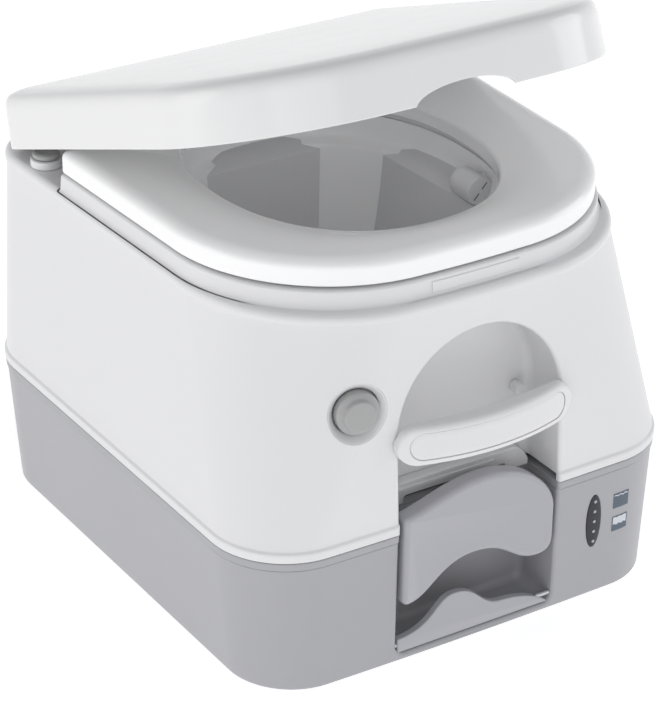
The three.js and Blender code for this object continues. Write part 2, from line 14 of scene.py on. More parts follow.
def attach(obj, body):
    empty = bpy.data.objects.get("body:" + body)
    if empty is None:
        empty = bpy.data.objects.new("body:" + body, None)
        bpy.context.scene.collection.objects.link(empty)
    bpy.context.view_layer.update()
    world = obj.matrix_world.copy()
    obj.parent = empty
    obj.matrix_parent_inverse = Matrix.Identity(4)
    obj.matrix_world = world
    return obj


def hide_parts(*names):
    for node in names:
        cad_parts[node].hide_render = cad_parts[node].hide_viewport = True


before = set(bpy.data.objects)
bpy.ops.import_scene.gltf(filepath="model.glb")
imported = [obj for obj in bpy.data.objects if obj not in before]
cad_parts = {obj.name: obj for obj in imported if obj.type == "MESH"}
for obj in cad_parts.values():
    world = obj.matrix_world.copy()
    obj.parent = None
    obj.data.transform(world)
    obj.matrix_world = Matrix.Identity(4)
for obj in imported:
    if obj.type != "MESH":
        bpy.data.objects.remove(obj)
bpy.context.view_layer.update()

# ---- driving dimensions ------------------------------------------------------------------
MM = 0.001
WALL = 3.0
LIFT = 3.5
GAP = 0.4
UNDERSIDE = -3.5
BAND_BOTTOM = 99.6
TANK_HEIGHT = 105.6
FLANGE_BOTTOM = 106.2
FLANGE_TOP = 113.8
RIM = 272.6
DECK = 280.5
PLINTH = 294.2
SEAT_BOTTOM = 296.0
SEAT_TOP = 315.5
LID_BOTTOM = 283.5
LID_TOP = 328.0
LID_REST = math.radians(20.7)
HINGE_Y = 173.8
HINGE_Z = 287.6
KNUCKLE = 6.0
THROAT = 44.0
OPENING_Y = -19.0
NICHE_HALF = 70.0
NICHE_BACK = -170.0
ARCH_CENTRE = 181.0
LIP = 3.0
BLADE_LOW, BLADE_HIGH = 88, 92
GAUGE_X, GAUGE_Z = 106, 61
SPOUT_X, SPOUT_Z = -100, 52
VENT = (128, 150)
LATCH_Y, LATCH_Z = 215.4, 68.0
PUMP = (-162, 137)
FILLER = (150, 137)
NOZZLE_X, NOZZLE_Y, NOZZLE_Z = 95.6, -54, 277
DRAFT = math.atan(8.1 / 159.6)

Plan = namedtuple("Plan", "half front rear front_r rear_r bow taper")
FOOT = Plan(179.5, -210.5, 206, 53, 53, 1.5, 0)
SEAM = Plan(188.2, -211.3, 211.3, 59, 59, 1.5, 0)
RIM_PLAN = Plan(177.5, -203.2, 207, 119, 44, 1.5, 5)
PLINTH_PLAN = Plan(176, -195.5, 92, 126, 4, 1, 5)
SEAT_PLAN = Plan(175, -193, 89, 128, 4, 1, 5)
LID_PLAN = Plan(180, -199.4, 178.4, 118, 26, 1, 2)
CAVITY = Plan(176, -166, 174, 40, 50, 0, 0)


# ---- plan outlines -----------------------------------------------------------------------
def lerp(a, b, t):
    return a + (b - a) * t


def between(low, high, t):
    return Plan(*(lerp(a, b, t) for a, b in zip(low, high)))


def tank_plan(z):
    return between(FOOT, SEAM, (z - UNDERSIDE) / (BAND_BOTTOM - UNDERSIDE))


def housing_plan(z):
    t = (z - FLANGE_TOP) / (RIM - FLANGE_TOP)
    return between(SEAM, RIM_PLAN, min(max(t, 0.0), 1.0))


def outline(plan, inset=0.0, arch=0.0):
    """Points round a plan, counter-clockwise from the left; arch crowds points at the front."""
    front_half = plan.half - plan.taper - inset
    rear_half = plan.half - inset
    front, rear = plan.front + inset, plan.rear - inset
    front_r, rear_r = max(plan.front_r - inset, 1.0), max(plan.rear_r - inset, 1.0)
    flat = front_half - front_r
    points = []

    def corner(cx, cy, radius, start, steps):
        for i in range(steps + 1):
            angle = start + i / steps * math.pi / 2
            points.append((cx + radius * math.cos(angle), cy + radius * math.sin(angle)))

    corner(-flat, front + front_r, front_r, math.pi, 22)
    stations = [lerp(-flat, flat, i / 12) for i in range(1, 12)]
    if arch:
        stations = [-arch * math.cos(i / 32 * math.pi) for i in range(33)]
        stations = [-0.5 * (flat + arch), *stations, 0.5 * (flat + arch)]
    for x in stations:
        points.append((x, front - plan.bow * (1 - (x / flat) ** 2)))
    corner(flat, front + front_r, front_r, 1.5 * math.pi, 22)
    corner(rear_half - rear_r, rear - rear_r, rear_r, 0, 14)
    corner(-rear_half + rear_r, rear - rear_r, rear_r, math.pi / 2, 14)
    return points


def front_y(plan, x):
    """How far forward a plan reaches at x."""
    flat = plan.half - plan.taper - plan.front_r
    if abs(x) < flat:
        return plan.front - plan.bow * (1 - (x / flat) ** 2)
    side = min(abs(x) - flat, plan.front_r)
    return plan.front + plan.front_r - math.sqrt(plan.front_r**2 - side**2)


def rear_y(plan, x):
    side = min(max(abs(x) - plan.half + plan.rear_r, 0.0), plan.rear_r)
    return plan.rear - plan.rear_r + math.sqrt(plan.rear_r**2 - side**2)


def plan_distance(plan, x, y):
    """Signed distance from a plan's outline, negative inside it."""
    front_end, rear_end = plan.front + plan.front_r, plan.rear - plan.rear_r
    t = min(max((y - front_end) / (rear_end - front_end), 0.0), 1.0)
    half = lerp(plan.half - plan.taper, plan.half, t)
    ax = abs(x)
    flat = plan.half - plan.taper - plan.front_r
    if y < front_end and ax > flat:
        return math.hypot(ax - flat, y - front_end) - plan.front_r
    if y > rear_end and ax > plan.half - plan.rear_r:
        return math.hypot(ax - plan.half + plan.rear_r, y - rear_end) - plan.rear_r
    return max(ax - half, y - plan.rear, front_y(plan, x) - y)


def box_distance(half, front, rear, radius, x, y):
    cx, cy = abs(x) - half + radius, abs(y - (front + rear) / 2) - (rear - front) / 2 + radius
    return math.hypot(max(cx, 0), max(cy, 0)) + min(max(cx, cy), 0.0) - radius


# Rings that share one centre are described by their reach at these angles.
ANGLES = sorted(
    [i * math.pi / 120 for i in range(240)]
    + [math.radians(sign * a / 4) % math.tau + 0.0021 for sign in (-1, 1) for a in range(104, 280, 2)]
    + [math.pi - math.radians(a / 4) + 0.0021 for a in range(104, 280, 2)]
)


def reach(distance, inset=0.0):
    """The radius at each angle, from the opening's centre, where distance(x, y) is -inset."""
    radii = []
    for angle in ANGLES:
        c, s = math.cos(angle), math.sin(angle)
        near, far = 0.0, 320.0
        for _ in range(26):
            middle = (near + far) / 2
            if distance(middle * c, OPENING_Y + middle * s) + inset < 0:
                near = middle
            else:
                far = middle
        radii.append(near)
    return radii


def oval_reach(a, b, power=2.2):
    return [
        (abs(math.cos(t) / a) ** power + abs(math.sin(t) / b) ** power) ** (-1 / power)
        for t in ANGLES
    ]


def mixed(low, high, t):
    return [lerp(a, b, t) for a, b in zip(low, high)]


def polar_ring(radii, z):
    """A ring round the opening; z is a number or a function of the angle."""
    height = z if callable(z) else lambda _: z
    return [
        (r * math.cos(t), OPENING_Y + r * math.sin(t), height(t)) for r, t in zip(radii, ANGLES)
    ]


def oval_like(points, a, b, cy, z, power=2.2):
    """An oval whose points lie in the same directions as those of an outline."""
    ring = []
    for x, y in points:
        angle = math.atan2(y - cy, x)
        c, s = math.cos(angle), math.sin(angle)
        r = (abs(c / a) ** power + abs(s / b) ** power) ** (-1 / power)
        ring.append((r * c, cy + r * s, z))
    return ring


# ---- mesh helpers ------------------------------------------------------------------------
def rounded(corners, steps=5):
    """A polyline through (a, b, ease) corners, each eased over its own distance."""
    points = []
    for i, (a, b, ease) in enumerate(corners):
        here = Vector((a, b))
        if ease == 0 or i in (0, len(corners) - 1):
            points.append((a, b))
            continue
        before = Vector(corners[i - 1][:2]) - here
        after = Vector(corners[i + 1][:2]) - here
        start = here + before.normalized() * min(ease, before.length / 2)
        end = here + after.normalized() * min(ease, after.length / 2)
        for k in range(steps + 1):
            t = k / steps
            spot = start * (1 - t) ** 2 + here * 2 * t * (1 - t) + end * t * t
            points.append((spot.x, spot.y))
    return points


def new_object(name, bm):
    bmesh.ops.recalc_face_normals(bm, faces=bm.faces)
    mesh = bpy.data.meshes.new(name)
    bm.to_mesh(mesh)
    bm.free()
    obj = bpy.data.objects.new(name, mesh)
    bpy.context.scene.collection.objects.link(obj)
    return obj


def from_rings(name, rings, closed=False):
    """A skin over rings of equal count, capped at both ends or joined into a loop."""
    bm = bmesh.new()
    rows = [[bm.verts.new((x * MM, y * MM, (z + LIFT) * MM)) for x, y, z in ring] for ring in rings]
    pairs = list(zip(rows, rows[1:]))
    if closed:
        pairs.append((rows[-1], rows[0]))
    count = len(rows[0])
    for low, high in pairs:
        for j in range(count):
            k = (j + 1) % count
            bm.faces.new((low[j], low[k], high[k], high[j]))
    if not closed:
        bm.faces.new(rows[0][::-1])
        bm.faces.new(rows[-1])
    return new_object(name, bm)


def from_grid(name, rows):
    """An open sheet through rows of points."""
    bm = bmesh.new()
    rows = [[bm.verts.new((x * MM, y * MM, (z + LIFT) * MM)) for x, y, z in row] for row in rows]
    for low, high in zip(rows, rows[1:]):
        for j in range(len(low) - 1):
            bm.faces.new((low[j], low[j + 1], high[j + 1], high[j]))
    return new_object(name, bm)


def settle(obj):
    """Makes an object's modifiers part of its mesh."""
    graph = bpy.context.evaluated_depsgraph_get()
    mesh = bpy.data.meshes.new_from_object(obj.evaluated_get(graph))
    old = obj.data
    obj.modifiers.clear()
    obj.data = mesh
    bpy.data.meshes.remove(old)
    return obj


def carve(obj, cutter, operation="DIFFERENCE"):
    boolean = obj.modifiers.new("carve", "BOOLEAN")
    boolean.object = cutter
    boolean.operation = operation
    boolean.solver = "EXACT"
    settle(obj)
    bpy.data.objects.remove(cutter)
    return obj


def ease_edges(obj, width, segments=3, angle=38):
    bevel = obj.modifiers.new("ease", "BEVEL")
    bevel.width = width * MM
    bevel.segments = segments
    bevel.limit_method = "ANGLE"
    bevel.angle_limit = math.radians(angle)
    return settle(obj)


def merge(name, *objects):
    """One object from several that touch or overlap."""
    bm = bmesh.new()
    for obj in objects:
        bm.from_mesh(obj.data)
        bpy.data.objects.remove(obj)
    mesh = bpy.data.meshes.new(name)
    bm.to_mesh(mesh)
    bm.free()
    joined = bpy.data.objects.new(name, mesh)
    bpy.context.scene.collection.objects.link(joined)
    return joined


def prism(name, points, place, start, end):
    """An outline (a, b) swept from start to end; place turns (a, b, depth) into x, y, z."""
    return from_rings(name, [[place(a, b, depth) for a, b in points] for depth in (start, end)])


def facing_front(a, b, depth):
    return (a, depth, b)


def from_side(a, b, depth):
    return (depth, a, b)


def lying(a, b, depth):
    return (a, b, depth)


def block(name, x0, x1, y0, y1, z0, z1, ease=0.0):
    box = prism(name, [(x0, y0), (x1, y0), (x1, y1), (x0, y1)], lying, z0, z1)
    return ease_edges(box, ease) if ease else box


def turned(name, profile, place, steps=56):
    """A body turned from (radius, height) points; place turns (a, b, height) into x, y, z."""
    rings = []
    for radius, height in profile:
        angles = [i / steps * math.tau for i in range(steps)]
        r = max(radius, 0.15)
        rings.append([place(r * math.cos(t), r * math.sin(t), height) for t in angles])
    hollow = min(radius for radius, _ in profile) > 0.2
    return from_rings(name, rings, closed=hollow)


def standing(x, y):
    return lambda a, b, height: (x + a, y + b, height)


def across(y, z):
    return lambda a, b, height: (height, y + a, z + b)


def loop_of(corners, steps=4):
    """A closed profile eased at every corner."""
    (a0, b0, _), (a1, b1, _) = corners[0], corners[1]
    seam = ((a0 + a1) / 2, (b0 + b1) / 2, 0)
    return rounded([seam, *corners[1:], corners[0], seam], steps)[:-1]


def trace(start, *curves, steps=14):
    """Points along lines (2 numbers) and quadratic (4) or cubic (6) curves."""
    points = [start]
    for curve in curves:
        here = Vector(points[-1])
        ends = [Vector(curve[i:i + 2]) for i in range(0, len(curve), 2)]
        if len(ends) == 1:
            points.append(tuple(ends[0]))
            continue
        for k in range(1, steps + 1):
            t = k / steps
            spots = [here, *ends]
            while len(spots) > 1:
                spots = [a.lerp(b, t) for a, b in zip(spots, spots[1:])]
            points.append(tuple(spots[0]))
    return points


def arc(cx, cz, radius, start, end, steps):
    turn = [lerp(start, end, i / steps) for i in range(steps + 1)]
    return [(cx + radius * math.cos(t), cz + radius * math.sin(t)) for t in turn]


def circle(x, y, radius, steps=48):
    """A closed circle, its first point not repeated."""
    return arc(x, y, radius, 0, math.tau * (steps - 1) / steps, steps - 1)


def recess(name, shape, skin, place, lip, back, back_ease):
    """A cutter that flares out to meet a skin: shape(grow) gives its outline, skin(a, b) the
    depth of the surface there, and the lip and the back edge are rounded."""
    def ring(grow, depth_of):
        return [place(a, b, depth_of(a, b)) for a, b in shape(grow)]

    rings = [ring(lip, lambda a, b: skin(a, b) - 30)]
    for k in range(7):
        t = k / 6 * math.pi / 2
        sink = lip * (1 - math.cos(t))
        rings.append(ring(lip * (1 - math.sin(t)), lambda a, b, sink=sink: skin(a, b) + sink))
    for k in range(6):
        t = k / 5 * math.pi / 2
        depth = back - back_ease * (1 - math.sin(t))
        rings.append(ring(-back_ease * (1 - math.cos(t)), lambda a, b, depth=depth: depth))
    return from_rings(name, rings)


# ---- materials ---------------------------------------------------------------------------
def noise(tree, scale, detail):
    """Even noise over the object's own coordinates."""
    place = tree.nodes.new("ShaderNodeTexCoord")
    node = tree.nodes.new("ShaderNodeTexNoise")
    node.inputs["Scale"].default_value = scale
    node.inputs["Detail"].default_value = detail
    tree.links.new(place.outputs["Object"], node.inputs["Vector"])
    return node.outputs["Fac"]


def mapped(tree, source, low, high, from_low, from_high):
    node = tree.nodes.new("ShaderNodeMapRange")
    node.inputs["From Min"].default_value = from_low
    node.inputs["From Max"].default_value = from_high
    node.inputs["To Min"].default_value = low
    node.inputs["To Max"].default_value = high
    tree.links.new(source, node.inputs["Value"])
    return node.outputs["Result"]


def blended(tree, factor, a, b):
    """Mixes two colours, each a tuple or another node's output."""
    node = tree.nodes.new("ShaderNodeMix")
    node.data_type = "RGBA"
    tree.links.new(factor, node.inputs["Factor"])
    for socket, value in ((node.inputs[6], a), (node.inputs[7], b)):
        if isinstance(value, tuple):
            socket.default_value = value
        else:
            tree.links.new(value, socket)
    return node.outputs[2]


def add_grain(tree, shader, strength):
    bump = tree.nodes.new("ShaderNodeBump")
    bump.inputs["Strength"].default_value = strength
    bump.inputs["Distance"].default_value = 0.0004
    tree.links.new(noise(tree, 1500.0, 2.0), bump.inputs["Height"])
    tree.links.new(bump.outputs["Normal"], shader.inputs["Normal"])


def moulded(name, colour, roughness, grain=0.05, wear=0.05, coat=0.0, drift=0.008):
    """Moulded plastic: slow drifts of colour and gloss, a fine grain, and paler worn edges."""
    material = bpy.data.materials.new(name)
    material.use_nodes = True
    tree = material.node_tree
    shader = tree.nodes["Principled BSDF"]
    shader.inputs["IOR"].default_value = 1.47
    shader.inputs["Coat Weight"].default_value = coat
    shader.inputs["Coat Roughness"].default_value = 0.08
    dull = tuple(c * (1 - drift) for c in colour) + (1.0,)
    clean = tuple(min(c * (1 + drift), 1.0) for c in colour) + (1.0,)
    pale = tuple(lerp(c, 1.0, 0.25) for c in colour) + (1.0,)
    body = blended(tree, mapped(tree, noise(tree, 7.0, 1.0), 0.0, 1.0, 0.2, 0.8), dull, clean)
    geometry = tree.nodes.new("ShaderNodeNewGeometry")
    edges = mapped(tree, geometry.outputs["Pointiness"], 0.0, wear * 4, 0.52, 0.62)
    tree.links.new(blended(tree, edges, body, pale), shader.inputs["Base Color"])
    low, high = roughness * 0.95, roughness * 1.06
    gloss = mapped(tree, noise(tree, 30.0, 2.0), low, high, 0.2, 0.8)
    tree.links.new(gloss, shader.inputs["Roughness"])
    add_grain(tree, shader, grain)
    return material


def brushed(name, colour, roughness):
    """Bright steel, smooth and all metal."""
    material = moulded(name, colour, roughness, grain=0.02, wear=0.0)
    material.node_tree.nodes["Principled BSDF"].inputs["Metallic"].default_value = 1.0
    return material


WHITE = moulded("white_polyethylene", (0.75, 0.75, 0.76), 0.30, grain=0.04)
GLOSS = moulded("white_gloss", (0.94, 0.94, 0.94), 0.17, grain=0.015, coat=0.25)
# The lid's gloss is the seat's gloss made darker: painted shade for the lid, which is the same white
# plastic as the seat.
LID = moulded("lid_gloss_painted_shade", (0.80, 0.80, 0.80), 0.17, grain=0.015, coat=0.25)
# The bowl's white is set near 1, brighter than the housing's: painted light lifting the bowl, which
# lies in the lid's shade.
BOWL = moulded("bowl_white_painted_light", (0.97, 0.97, 0.97), 0.24, grain=0.02)
GREY = moulded("tank_grey", (0.39, 0.39, 0.41), 0.36, grain=0.06, drift=0.015)
PULL = moulded("pull_grey", (0.40, 0.40, 0.425), 0.34, grain=0.06, drift=0.015)
BUTTON = moulded("button_grey", (0.38, 0.38, 0.38), 0.32, grain=0.04)
DARK = moulded("smoked_window", (0.022, 0.022, 0.030), 0.22, grain=0.01)
BLADE = moulded("dark_blade", (0.06, 0.06, 0.07), 0.35, grain=0.05)
SLATE = moulded("slate_ink", (0.095, 0.125, 0.16), 0.45, grain=0.02)
PAPER = moulded("pale_ink", (0.62, 0.64, 0.68), 0.45, grain=0.02)
DOTS = moulded("gauge_marks", (0.42, 0.43, 0.48), 0.3, grain=0.02)
RUBBER = moulded("black_rubber", (0.028, 0.028, 0.030), 0.7, grain=0.25, wear=0.1)
STEEL = brushed("bright_steel", (0.62, 0.63, 0.65), 0.28)


def shade(obj, angle=34):
    """Smooth shading broken only at real edges."""
    bm = bmesh.new()
    bm.from_mesh(obj.data)
    bm.normal_update()
    limit = math.radians(angle)
    for face in bm.faces:
        face.smooth = True
    for edge in bm.edges:
        edge.smooth = len(edge.link_faces) < 2 or edge.calc_face_angle(0.0) < limit
    bm.to_mesh(obj.data)
    bm.free()
    normals = obj.modifiers.new("normals", "WEIGHTED_NORMAL")
    normals.keep_sharp = True
    normals.weight = 60
    settle(obj)


def show(obj, material, body, *nodes):
    """Finishes a piece: shading, material, the body it rides on and the nodes it stands for."""
    shade(obj)
    obj.data.materials.clear()
    obj.data.materials.append(material)
    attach(obj, body)
    if nodes:
        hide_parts(*nodes)
    return obj


# ---- holding tank ------------------------------------------------------------------------
def seam_skin(x, _z):
    return front_y(SEAM, x) - 1.0


def tank_skin(x, z):
    return front_y(tank_plan(min(max(z, UNDERSIDE), BAND_BOTTOM)), x)


def tank_rear_skin(x, z):
    return -rear_y(tank_plan(min(max(z, UNDERSIDE), BAND_BOTTOM)), x)


def from_rear(a, b, depth):
    return (a, -depth, b)


def slot_shape(x0, x1, z0, z1, radius):
    """A recess outline with round lower corners, as a function of how far it has grown."""
    def shape(grow):
        left, right, low = x0 - grow, x1 + grow, z0 - grow
        r = radius + grow
        legs = [z0 + radius + (z1 - z0 - radius) * i / 36 for i in range(1, 37)]
        return [
            *[(left, z) for z in reversed(legs)],
            *arc(left + r, low + r, r, math.pi, 1.5 * math.pi, 8),
            *arc(right - r, low + r, r, 1.5 * math.pi, 2 * math.pi, 8),
            *[(right, z) for z in legs],
        ]
    return shape


def ellipse_shape(cx, cz, a, b, steps=48):
    def shape(grow):
        turn = [i / steps * math.tau for i in range(steps)]
        return [(cx + (a + grow) * math.cos(t), cz + (b + grow) * math.sin(t)) for t in turn]
    return shape


GAUGE = ellipse_shape(GAUGE_X, GAUGE_Z, 6.8, 22.5)
tank_niche = slot_shape(-NICHE_HALF, NICHE_HALF, 2, 130, 8)
spout_recess = slot_shape(SPOUT_X - 50, SPOUT_X + 50, 8, 130, 9)


def make_tank():
    floor = UNDERSIDE + WALL
    top = BAND_BOTTOM - GAP
    profile = rounded([(12, UNDERSIDE, 0), (0, UNDERSIDE, 3), (0, top, 1.2), (4, top, 0)], 6)
    rings = [
        [(x, y, z) for x, y in outline(tank_plan(z), inset)] for inset, z in profile
    ]
    rings += [[(x, y, z) for x, y in outline(CAVITY)] for z in (top, floor)]
    tank = from_rings("tank_body", rings)
    carve(tank, recess("cut", tank_niche, tank_skin, facing_front, LIP, NICHE_BACK, 6))
    carve(tank, recess("cut", spout_recess, tank_rear_skin, from_rear, 2.5, -178, 5))
    carve(tank, recess("cut", GAUGE, tank_skin, facing_front, 0.6, -206, 0.3))
    carve(tank, prism("cut", circle(SPOUT_X, SPOUT_Z, 26), facing_front, 150, 190))
    carve(tank, block("cut", -9, 9, -175, -160, BLADE_LOW - 2, BLADE_HIGH + 2))
    show(tank, GREY, "holding_tank", "tank_shell")


def make_tank_top():
    profile = rounded([(30, BAND_BOTTOM, 0), (-1, BAND_BOTTOM, 1.1), (-1, TANK_HEIGHT, 1.3),
                       (30, TANK_HEIGHT, 0)], 4)
    rings = [[(x, y, z) for x, y in outline(SEAM, inset)] for inset, z in profile]
    edge = outline(SEAM)
    lip = [(THROAT + 1, TANK_HEIGHT), (THROAT, TANK_HEIGHT - 1), (THROAT, BAND_BOTTOM)]
    rings += [oval_like(edge, r, r, 0, z, 2) for r, z in lip]
    top = from_rings("tank_lid_plate", rings, closed=True)
    carve(top, recess("cut", tank_niche, seam_skin, facing_front, LIP, NICHE_BACK, 6))
    carve(top, prism("cut", circle(*VENT, 6.4, 24), lying, 90, 110))
    show(top, GREY, "holding_tank", "tank_top")


def gauge_place(z):
    """Puts a small turned mark on the gauge at height z, facing the front."""
    skin = tank_skin(GAUGE_X, z) - 0.85
    return lambda a, b, rise: (GAUGE_X + a, skin - rise, z + b)


def make_gauge():
    rings = []
    for inset, rise in rounded([(0, -3, 0), (0, 0.5, 0.5), (3.2, 0.9, 1.5), (6.5, 1.0, 0)], 4):
        rings.append([(x, tank_skin(x, z) - rise, z) for x, z in GAUGE(-inset)])
    show(from_rings("gauge_window", rings), DARK, "holding_tank", "level_gauge")
    dome = rounded([(1.3, 0, 0), (1.2, 0.5, 0.4), (0, 0.6, 0)], 3)
    for i in range(5):
        mark = turned(f"gauge_mark_{i}", dome, gauge_place(GAUGE_Z + (i - 2) * 8.6), 16)
        show(mark, DOTS, "holding_tank")


def decal(name, x0, x1, low, high, proud, material):
    """A printed patch lying on the tank's front, between two heights that may wave."""
    columns = [lerp(x0, x1, i / 20) for i in range(21)]
    rows = []
    for k in range(5):
        row = []
        for x in columns:
            z = lerp(low(x), high(x), k / 4)
            row.append((x, tank_skin(x, z) - proud, z))
        rows.append(row)
    show(from_grid(name, rows), material, "holding_tank")


def make_icons():
    """Two small level marks beside the gauge: full above, low below."""
    left, wide, tall, edge = 124, 15, 13, 1
    for tag, base, level, air in (("full", 65.5, 10.4, 0.9), ("low", 45.5, 5.6, 6.4)):
        def wave(x, height=base + level):
            return height + 0.45 * math.sin((x - (left + edge)) * 1.35)

        def surface(x, height=air, limit=base + tall - edge):
            return min(wave(x) + height, limit)

        decal(f"level_{tag}_frame", left, left + wide, lambda x: base, lambda x: base + tall,
              0.10, SLATE)
        decal(f"level_{tag}_air", left + edge, left + wide - edge, wave, surface, 0.16, PAPER)


# ---- valve pull and folding handle -------------------------------------------------------
def make_pull():
    shape = trace((-67, 45), (-44, 42, -38, 71, -6, 71), (26, 71, 30, 50, 52, 50),
                  (66, 50, 66, 64), (66, 90), (64, 112, 36, 132, 6, 133),
                  (-24, 134, -44, 122, -67, 118))
    grip = ease_edges(prism("valve_grip", shape, facing_front, -216, -200), 5.5, 6, 40)
    show(grip, PULL, "gate_valve", "valve_pull")
    stem = block("valve_rod", -7, 7, -199.6, -50.4, BLADE_LOW, BLADE_HIGH, 0.8)
    show(stem, BLADE, "gate_valve", "valve_stem")
    tongue = [(-50, -50), (50, -50), *arc(0, 0, 50, 0, math.pi, 48)]
    plate = prism("valve_plate", tongue, lying, BLADE_LOW, BLADE_HIGH)
    show(ease_edges(plate, 0.6), BLADE, "gate_valve", "valve_blade")


def make_tank_handle():
    shape = trace((-68, 2.8), (68, 2.8), (50, 17, 22, 18), (6, 19, 2, 38.5, -18, 38.5),
                  (-36, 38.5, -34, 16, -68, 14.4))
    flap = ease_edges(prism("folding_handle", shape, facing_front, -210.4, -204.4), 1.8, 4, 40)
    show(flap, PULL, "tank_handle", "tank_handle")


# ---- spout, vent and latch at the rear and on top of the tank ----------------------------
def spout_place(a, b, height):
    return (SPOUT_X + a, height, SPOUT_Z + b)


def make_spout():
    neck = loop_of([(27, 178.4, 0.5), (32, 178.4, 0.5), (32, 196, 1), (27, 196, 1)])
    show(turned("spout_pipe", neck, spout_place), GREY, "holding_tank", "spout_neck")
    seal = loop_of([(27, 196.4, 0.6), (33, 196.4, 0.6), (33, 199.2, 0.6), (27, 199.2, 0.6)])
    show(turned("spout_gasket", seal, spout_place), RUBBER, "spout_seal", "spout_seal")
    cap = rounded([(0, 199.6, 0), (34.5, 199.6, 1), (34.5, 188, 1), (38, 188, 1.2), (38, 203, 2.2),
                   (0, 203, 0)])
    grip = block("grip", SPOUT_X - 30, SPOUT_X + 30, 202, 210, SPOUT_Z - 4, SPOUT_Z + 4, 2.5)
    ribs = [spout_rib(i) for i in range(24)]
    show(merge("spout_lid", turned("cup", cap, spout_place), grip, *ribs), BLADE, "spout_cap",
         "spout_cap")


def spout_rib(i):
    """One of the finger ribs round the spout cap."""
    angle = i / 24 * math.tau
    c, s = math.cos(angle), math.sin(angle)
    corners = [(37.4, -0.9), (38.5, -0.5), (38.5, 0.5), (37.4, 0.9)]
    outline_xz = [(SPOUT_X + r * c - t * s, SPOUT_Z + r * s + t * c) for r, t in corners]
    return prism("rib", outline_xz, facing_front, 189, 201)


def make_vent():
    cup = rounded([(0, 84, 0), (10, 84, 1), (10, 99.2, 0.4), (6.6, 99.2, 0.4), (6.6, 86, 0.5),
                   (0, 86, 0)])
    show(turned("vent_well", cup, standing(*VENT)), GREY, "holding_tank", "vent_cup")
    button = rounded([(0, 98, 0), (6, 98, 0.5), (6, 110.8, 1.6), (0, 110.8, 0)])
    show(turned("vent_cap", button, standing(*VENT)), BLADE, "vent_button", "vent_button")


def make_latch():
    y, z = LATCH_Y, LATCH_Z
    base = block("base", -23, 23, y - 5.2, y - 3.5, 58, 78, 0.5)
    lugs = [block("lug", x, x + 5, y - 5.2, y + 3.5, 61, 75, 1.2) for x in (-23, 18)]
    show(merge("latch_mount", base, *lugs), GREY, "holding_tank", "latch_bracket")
    side = [(y - 1.8, z), (y + 1.2, z), (y + 1.2, 119), (y - 2.6, 119), (y - 2.6, 114.2),
            (y - 1.8, 113.4)]
    lever = ease_edges(prism("lever", side, from_side, -17.4, 17.4), 0.9, 3)
    barrel = turned("barrel", rounded([(0, -17.4, 0), (2.9, -17.4, 0.6), (2.9, 17.4, 0.6),
                                       (0, 17.4, 0)]), across(y, z), 24)
    show(merge("latch_lever", lever, barrel), GREY, "rear_latch", "rear_latch")


# ---- fresh-water housing -----------------------------------------------------------------
BOWL_SECTIONS = [
    (112.5, 128.5, -19, 290.8, 2.2), (111.5, 127.5, -19, 279, 2.2), (110.4, 126.4, -19, 273, 2.2),
    (108, 124, -19, 269.6, 2.2), (104.5, 119.5, -19, 267.6, 2.2), (103.2, 118, -19, 264, 2.2),
    (102, 116.4, -18.5, 255, 2.2), (98, 112, -17, 238, 2.2), (92.5, 103.5, -15, 214, 2.15),
    (84, 92, -12, 190, 2.1), (73.5, 79.5, -8.5, 165, 2.05), (60, 64, -5, 145, 2),
    (50, 51, -1.5, 132, 2), (THROAT, THROAT, 0, 124, 2), (THROAT, THROAT, 0, 111.8, 2),
]


def housing_skin(x, z):
    proud = 1.8 * min(max((FLANGE_TOP - z) / 0.8, 0.0), 1.0)
    return front_y(housing_plan(z), x) - proud


def arch_shape(grow):
    half = NICHE_HALF + grow
    legs = [lerp(95, ARCH_CENTRE, i / 43) for i in range(43)]
    return [
        *[(-half, z) for z in legs],
        *arc(0, ARCH_CENTRE, half, math.pi, 0, 48),
        *[(half, z) for z in reversed(legs)],
    ]


BUTTON_X, BUTTON_Y, BUTTON_Z = -102.0, -204.8, 209.0
BUTTON_TURN = (Matrix.Rotation(math.radians(-13), 3, "Z")
               @ Matrix.Rotation(-math.pi / 2 - DRAFT, 3, "X"))


def button_place(a, b, depth):
    spot = BUTTON_TURN @ Vector((a, b, depth))
    return (BUTTON_X + spot.x, BUTTON_Y + spot.y, BUTTON_Z + spot.z)


def button_skin(a, b):
    """The depth along the button's axis at which it meets the housing."""
    out, inside = -30.0, 30.0
    for _ in range(30):
        middle = (out + inside) / 2
        x, y, z = button_place(a, b, middle)
        if plan_distance(housing_plan(z), x, y) > 0:
            out = middle
        else:
            inside = middle
    return (out + inside) / 2


def make_housing():
    profile = rounded([
        (3, 112.2, 0), (3, FLANGE_BOTTOM, 0.6), (-1.8, FLANGE_BOTTOM, 1.6), (-1.8, 113, 1.8),
        (0, 114.4, 1.2), (0, 116, 0),
    ], 4)
    profile += [(0, z) for z in (130, 160, 190, 220, 250)] + [(0, RIM), (4, RIM)]
    rings = [[(x, y, z) for x, y in outline(housing_plan(z), inset)] for inset, z in profile]
    edge = outline(SEAM)
    room = WALL + 1
    neck = THROAT + WALL
    well = [(122, 138, OPENING_Y, RIM, 2.2), *BOWL_SECTIONS[5:-1], (neck, neck, 0, 116, 2)]
    for a, b, cy, z, power in well:
        rings.append(oval_like(edge, a + room, b + room, cy, min(z, RIM), power))
    rings.append(oval_like(edge, neck + room, neck + room, 0, 112.2, 2))
    housing = from_rings("housing_body", rings, closed=True)
    carve(housing, recess("cut", arch_shape, housing_skin, facing_front, LIP, NICHE_BACK, 7))
    mouth = ellipse_shape(0, 0, 22.2, 22.2, 64)
    carve(housing, recess("cut", mouth, button_skin, button_place, 0.9, 16, 1))
    show(housing, WHITE, "upper_unit", "upper_housing")


